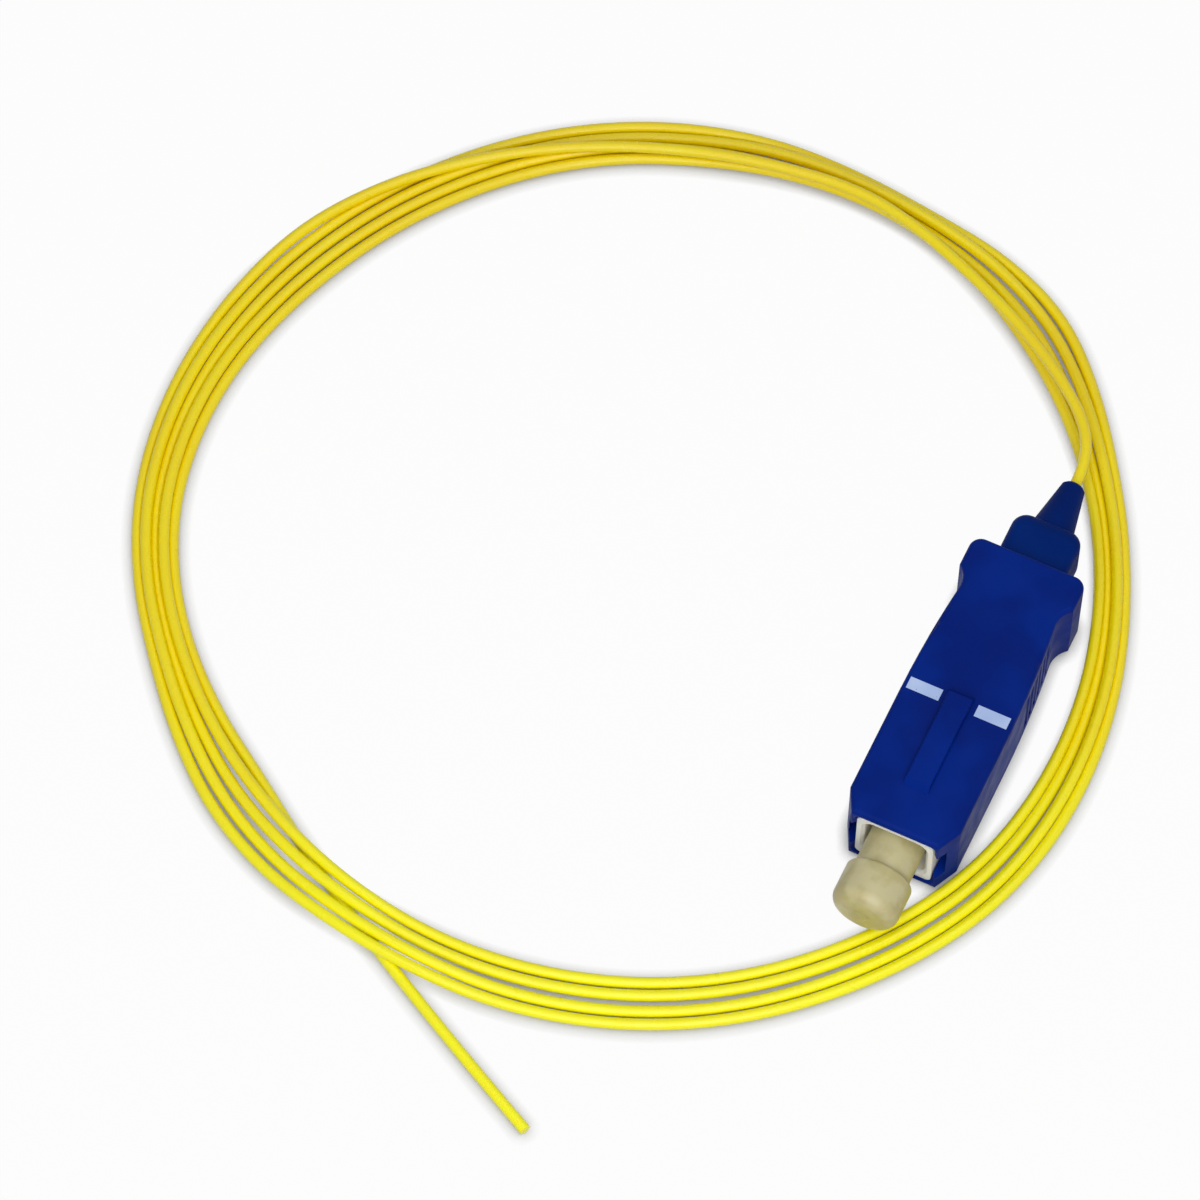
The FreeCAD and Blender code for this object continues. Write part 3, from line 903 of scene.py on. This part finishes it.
@dataclass
class Spring:
    """The coil spring behind the flange, drawn as one helix of round wire."""

    finish: WorkedMetal
    wire_radius: float = 0.225 * MM
    turns: int = 6
    points_per_turn: int = 32
    wire_sides: int = 10

    def build(self, shop: Workshop) -> bpy.types.Object:
        """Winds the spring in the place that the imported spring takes.

        Args:
            shop: The shared effects and the plug's axis.

        Returns:
            The spring as a plain mesh.
        """
        low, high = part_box("spring")
        sizes = {
            "Turns": float(self.turns),
            "Coil Radius": (high.x - low.x) / 2 - self.wire_radius,
            "Wire Radius": self.wire_radius,
            "Length": high.y - low.y - 2 * self.wire_radius,
            "Start": (0.0, low.y + self.wire_radius, shop.axis_height),
            "Finish": self.finish.make(shop),
        }
        holder = bpy.data.objects.new("spring_holder", bpy.data.meshes.new("spring_holder"))
        bpy.context.collection.objects.link(holder)
        tree = self.wire_tree()
        modifier = holder.modifiers.new("wind", "NODES")
        modifier.node_group = tree
        for item in tree.interface.items_tree:
            if item.in_out == "INPUT" and item.name in sizes:
                modifier[item.identifier] = sizes[item.name]
        evaluated = holder.evaluated_get(bpy.context.evaluated_depsgraph_get())
        mesh = bpy.data.meshes.new_from_object(evaluated)
        mesh.name = "coil_spring"
        bpy.data.objects.remove(holder)
        spring = bpy.data.objects.new("coil_spring", mesh)
        bpy.context.collection.objects.link(spring)
        return spring

    def dress(self, spring: bpy.types.Object) -> None:
        """Ties the spring to the plug, hides the imported spring and gives the new one a mesh of its own.

        Args:
            spring: The spring's mesh.
        """
        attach(spring, Body.PLUG.value)
        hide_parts("spring")
        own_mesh(spring)

    def wire_tree(self) -> bpy.types.NodeTree:
        """Builds the nodes that wind a wire along the plug's axis.

        Returns:
            The node tree, with its sizes as named inputs.
        """
        tree = bpy.data.node_groups.new("wound_wire", "GeometryNodeTree")
        tree.interface.new_socket("Geometry", in_out="INPUT", socket_type="NodeSocketGeometry")
        for name in ("Turns", "Coil Radius", "Wire Radius", "Length"):
            tree.interface.new_socket(name, in_out="INPUT", socket_type=VALUE)
        tree.interface.new_socket("Start", in_out="INPUT", socket_type=VECTOR)
        tree.interface.new_socket("Finish", in_out="INPUT", socket_type="NodeSocketMaterial")
        tree.interface.new_socket("Geometry", in_out="OUTPUT", socket_type="NodeSocketGeometry")
        sheet = Sheet(tree)
        given = sheet.add("NodeGroupInput").outputs
        line = sheet.add("GeometryNodeCurvePrimitiveLine", {"End": (0.0, 1.0, 0.0)}).outputs["Curve"]
        count = self.turns * self.points_per_turn + 1
        points = sheet.add("GeometryNodeResampleCurve", {"Curve": line, "Count": count}).outputs["Curve"]
        share = sheet.add("GeometryNodeSplineParameter").outputs["Factor"]
        angle = sheet.math("MULTIPLY", sheet.math("MULTIPLY", share, given["Turns"]), math.tau)
        helix = sheet.add("ShaderNodeCombineXYZ", {
            "X": sheet.math("MULTIPLY", sheet.math("COSINE", angle), given["Coil Radius"]),
            "Y": sheet.math("MULTIPLY", share, given["Length"]),
            "Z": sheet.math("MULTIPLY", sheet.math("SINE", angle), given["Coil Radius"]),
        }).outputs[0]
        place = sheet.add("ShaderNodeVectorMath", {0: helix, 1: given["Start"]}, operation="ADD").outputs[0]
        path = sheet.add("GeometryNodeSetPosition", {"Geometry": points, "Position": place}).outputs[0]
        section = sheet.add("GeometryNodeCurvePrimitiveCircle", {
            "Resolution": self.wire_sides, "Radius": given["Wire Radius"],
        }).outputs["Curve"]
        wire = sheet.add("GeometryNodeCurveToMesh", {
            "Curve": path, "Profile Curve": section, "Fill Caps": True,
        }).outputs["Mesh"]
        smooth = sheet.add("GeometryNodeSetShadeSmooth", {"Geometry": wire}).outputs[0]
        real = sheet.add("GeometryNodeRealizeInstances", {"Geometry": smooth}).outputs[0]
        feeds = {"Geometry": real, "Material": given["Finish"]}
        done = sheet.add("GeometryNodeSetMaterial", feeds).outputs[0]
        sheet.add("NodeGroupOutput", {"Geometry": done})
        return tree


@dataclass
class Plug:
    """The plug's own pieces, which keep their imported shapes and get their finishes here."""

    grip: MouldedPlastic
    marks: PrintedInk
    frame: MouldedPlastic
    ferrule: GroundCeramic
    flange: WorkedMetal
    guide_tube: MouldedPlastic
    stop_ring: MouldedPlastic
    boot: MouldedPlastic
    cap: MilkyPlastic
    inner_fibre: BufferCoat

    def dress(self, shop: Workshop) -> None:
        """Gives each piece its finish.

        Args:
            shop: The shared effects and the plug's axis.
        """
        finishes = {
            "grip_housing": self.grip,
            "seating_marks": self.marks,
            "plug_frame": self.frame,
            "ferrule": self.ferrule,
            "ferrule_flange": self.flange,
            "guide_tube": self.guide_tube,
            "stop_ring": self.stop_ring,
            "boot": self.boot,
            "dust_cap": self.cap,
            "inner_fibre": self.inner_fibre,
        }
        for name, finish in finishes.items():
            piece = frame["nodes"][name]
            material = finish.make(shop)
            if piece.material_slots:
                for slot in piece.material_slots:
                    slot.material = material
            else:
                piece.data.materials.append(material)
            LOG.info("%s dressed in %s", name, finish.name)


@dataclass(frozen=True)
class Lamp:
    """A soft square lamp that looks at the object."""

    name: str
    azimuth: float
    elevation: float
    distance: float
    size: float
    power: float

    def place(self, aim: Vector) -> None:
        """Hangs the lamp and turns it to the object.

        Args:
            aim: The point that it looks at.
        """
        data = bpy.data.lights.new(self.name, "AREA")
        data.size = self.size
        data.energy = self.power
        lamp = bpy.data.objects.new(self.name, data)
        bpy.context.collection.objects.link(lamp)
        stand_off(lamp, aim, self.azimuth, self.elevation, self.distance)


def stand_off(
    thing: bpy.types.Object, aim: Vector, azimuth: float, elevation: float, distance: float
) -> None:
    """Places a lamp or a camera round a point and turns it to that point.

    Args:
        thing: The lamp or camera.
        aim: The point that it looks at.
        azimuth: Degrees round from the front, towards +X.
        elevation: Degrees above the floor.
        distance: Metres from the point.
    """
    around = math.radians(azimuth)
    above = math.radians(elevation)
    flat = math.cos(above)
    back = Vector((math.sin(around) * flat, -math.cos(around) * flat, math.sin(above)))
    thing.location = aim + back * distance
    thing.rotation_euler = back.to_track_quat("Z", "Y").to_euler()


@dataclass
class Studio:
    """White floor, soft light and the camera."""

    aim: Place = (-0.02954, -0.00282, 0.0)
    azimuth: float = 25.37
    elevation: float = 63.42
    distance: float = 0.5
    lens: float = 195.4
    sensor_width: float = 36.0
    clip_start: float = 0.01
    floor_half: float = 2.0
    floor_drop: float = 0.05 * MM
    floor_colour: Colour = (0.5, 0.5, 0.5, 1.0)
    floor_whiteness: float = 0.96
    # Painted contact shade: how far the occlusion reaches, where the floor's white comes back, and its
    # samples.
    contact_reach: float = 1.0 * MM
    contact_open: Step = (0.35, 0.8)
    contact_samples: int = 2
    sky_light: float = 0.34
    lamps: tuple[Lamp, ...] = (
        Lamp("key_lamp", azimuth=25, elevation=42, distance=0.28, size=0.2, power=0.37),
        Lamp("overhead_lamp", azimuth=70, elevation=78, distance=0.55, size=0.5, power=0.9),
    )

    def build(self) -> None:
        """Sets the floor, the sky, the lamps and the camera."""
        self.lay_floor()
        self.light_sky()
        for lamp in self.lamps:
            lamp.place(Vector(self.aim))
        self.set_camera()
        bpy.context.scene.view_settings.view_transform = "Standard"

    def lay_floor(self) -> None:
        """Lays a white floor that keeps a soft shadow of the object, with painted contact shade where they
        meet: an occlusion mask takes the white away near the object.
        """
        half = self.floor_half
        level = -self.floor_drop
        corners = [(-half, -half, level), (half, -half, level), (half, half, level), (-half, half, level)]
        mesh = bpy.data.meshes.new("floor")
        mesh.from_pydata(corners, [], [(0, 1, 2, 3)])
        floor = bpy.data.objects.new("floor", mesh)
        bpy.context.collection.objects.link(floor)
        material = bpy.data.materials.new("white_floor")
        material.use_nodes = True
        material.node_tree.nodes.clear()
        sheet = Sheet(material.node_tree)
        matt = sheet.add("ShaderNodeBsdfDiffuse", {"Color": self.floor_colour}).outputs[0]
        white = sheet.add("ShaderNodeEmission").outputs[0]
        # Painted contact shade: the floor's white fades out wherever the occlusion finds the object near,
        # deepest in the gaps between strands.
        feeds = {"Distance": self.contact_reach}
        near = sheet.add("ShaderNodeAmbientOcclusion", feeds, samples=self.contact_samples)
        whiteness = sheet.ease(near.outputs["AO"], *self.contact_open, 0.0, self.floor_whiteness)
        share = sheet.math("MULTIPLY", self.seen_directly(sheet), whiteness)
        mixed = sheet.add("ShaderNodeMixShader", {0: share, 1: matt, 2: white}).outputs[0]
        sheet.add("ShaderNodeOutputMaterial", {"Surface": mixed})
        mesh.materials.append(material)

    def light_sky(self) -> None:
        """Lights the object evenly from all round, in front of plain white."""
        world = bpy.data.worlds.new("studio_sky")
        world.use_nodes = True
        world.node_tree.nodes.clear()
        sheet = Sheet(world.node_tree)
        white = (1.0, 1.0, 1.0, 1.0)
        light = sheet.add("ShaderNodeBackground", {"Color": white, "Strength": self.sky_light}).outputs[0]
        backdrop = sheet.add("ShaderNodeBackground", {"Color": white, "Strength": 1.0}).outputs[0]
        feeds = {0: self.seen_directly(sheet), 1: light, 2: backdrop}
        mixed = sheet.add("ShaderNodeMixShader", feeds).outputs[0]
        sheet.add("ShaderNodeOutputWorld", {"Surface": mixed})
        bpy.context.scene.world = world

    @staticmethod
    def seen_directly(sheet: Sheet) -> bpy.types.NodeSocket:
        """Finds the rays that show the background, whether straight, mirrored or through a clear piece.

        Args:
            sheet: The sheet to work on.

        Returns:
            1 for such a ray, and 0 for one that only lights something.
        """
        rays = sheet.add("ShaderNodeLightPath").outputs
        mirrored = sheet.math("MAXIMUM", rays["Is Glossy Ray"], rays["Is Transmission Ray"])
        return sheet.math("MAXIMUM", rays["Is Camera Ray"], mirrored)

    def set_camera(self) -> None:
        """Stands the camera where the photograph was taken from."""
        data = bpy.data.cameras.new("camera")
        data.lens = self.lens
        data.sensor_width = self.sensor_width
        data.clip_start = self.clip_start
        camera = bpy.data.objects.new("camera", data)
        bpy.context.collection.objects.link(camera)
        stand_off(camera, Vector(self.aim), self.azimuth, self.elevation, self.distance)
        bpy.context.scene.camera = camera


GRIP_BLUE = MouldedPlastic(
    "grip_blue", deep=srgb(0, 29, 114), bright=srgb(0, 38, 131), smooth=0.42, rough=0.55,
    gloss=0.06, parting_line=True,
)
BOOT_BLUE = MouldedPlastic(
    "boot_blue", deep=srgb(0, 30, 100), bright=srgb(0, 38, 113), smooth=0.5, rough=0.65,
    grain_size=0.22 * MM, grain_depth=0.01 * MM, gloss=0.05, parting_line=True,
)
MARK_WHITE = PrintedInk(
    "mark_white", ink=srgb(184, 203, 240), thin=srgb(160, 183, 229), under=srgb(40, 70, 150),
)
FRAME_WHITE = MouldedPlastic(
    "frame_white", deep=srgb(240, 239, 235), bright=srgb(250, 249, 246), smooth=0.35, rough=0.5,
    parting_line=True, glow=0.6,
)
RING_WHITE = MouldedPlastic(
    "ring_white", deep=srgb(214, 213, 208), bright=srgb(232, 231, 226), smooth=0.4, rough=0.55, glow=0.15,
)
TUBE_NATURAL = MouldedPlastic(
    "tube_natural", deep=srgb(222, 222, 216), bright=srgb(238, 238, 232), smooth=0.25, rough=0.4, glow=0.4,
)
CAP_NATURAL = MilkyPlastic("cap_natural", clear=srgb(192, 182, 130), cloudy=srgb(208, 200, 155))
FERRULE_CERAMIC = GroundCeramic(
    "ferrule_ceramic", body=srgb(240, 238, 232), warm=srgb(228, 224, 214), glass=srgb(70, 74, 80),
)
FLANGE_METAL = WorkedMetal(
    "flange_metal", dark=srgb(170, 170, 168), light=srgb(205, 204, 200), smooth=0.22, rough=0.42,
    mark_pitch=0.06 * MM,
)
SPRING_STEEL = WorkedMetal(
    "spring_steel", dark=srgb(150, 150, 150), light=srgb(190, 190, 188), smooth=0.2, rough=0.38,
    mark_pitch=0.15 * MM,
)
# The fibre's yellow: brighter lemon at the front of the coil as painted light, darker golden at the back as
# painted shade.
FIBRE_YELLOW = BufferCoat("fibre_yellow", shaded_golden=srgb(246, 220, 2), lit_lemon=srgb(252, 247, 6))


def main() -> None:
    """Builds and dresses the pieces in order."""
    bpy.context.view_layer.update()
    boot_low, boot_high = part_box("boot")
    shop = Workshop(Effects.build(), axis_height=(boot_low.z + boot_high.z) / 2)

    fibre_maker = Fibre(FIBRE_YELLOW)
    fibre = fibre_maker.build()
    fibre_maker.dress(fibre, shop)
    LOG.info("fibre laid in %d control points", len(fibre.data.splines[0].points))

    spring_maker = Spring(SPRING_STEEL)
    spring = spring_maker.build(shop)
    spring_maker.dress(spring)
    LOG.info("spring wound with %d faces", len(spring.data.polygons))

    Plug(
        grip=GRIP_BLUE,
        marks=MARK_WHITE,
        frame=FRAME_WHITE,
        ferrule=FERRULE_CERAMIC,
        flange=FLANGE_METAL,
        guide_tube=TUBE_NATURAL,
        stop_ring=RING_WHITE,
        boot=BOOT_BLUE,
        cap=CAP_NATURAL,
        inner_fibre=FIBRE_YELLOW,
    ).dress(shop)

    Studio().build()


if __name__ == "__main__":
    logging.basicConfig(level=logging.INFO, format="%(name)s: %(message)s")
    main()
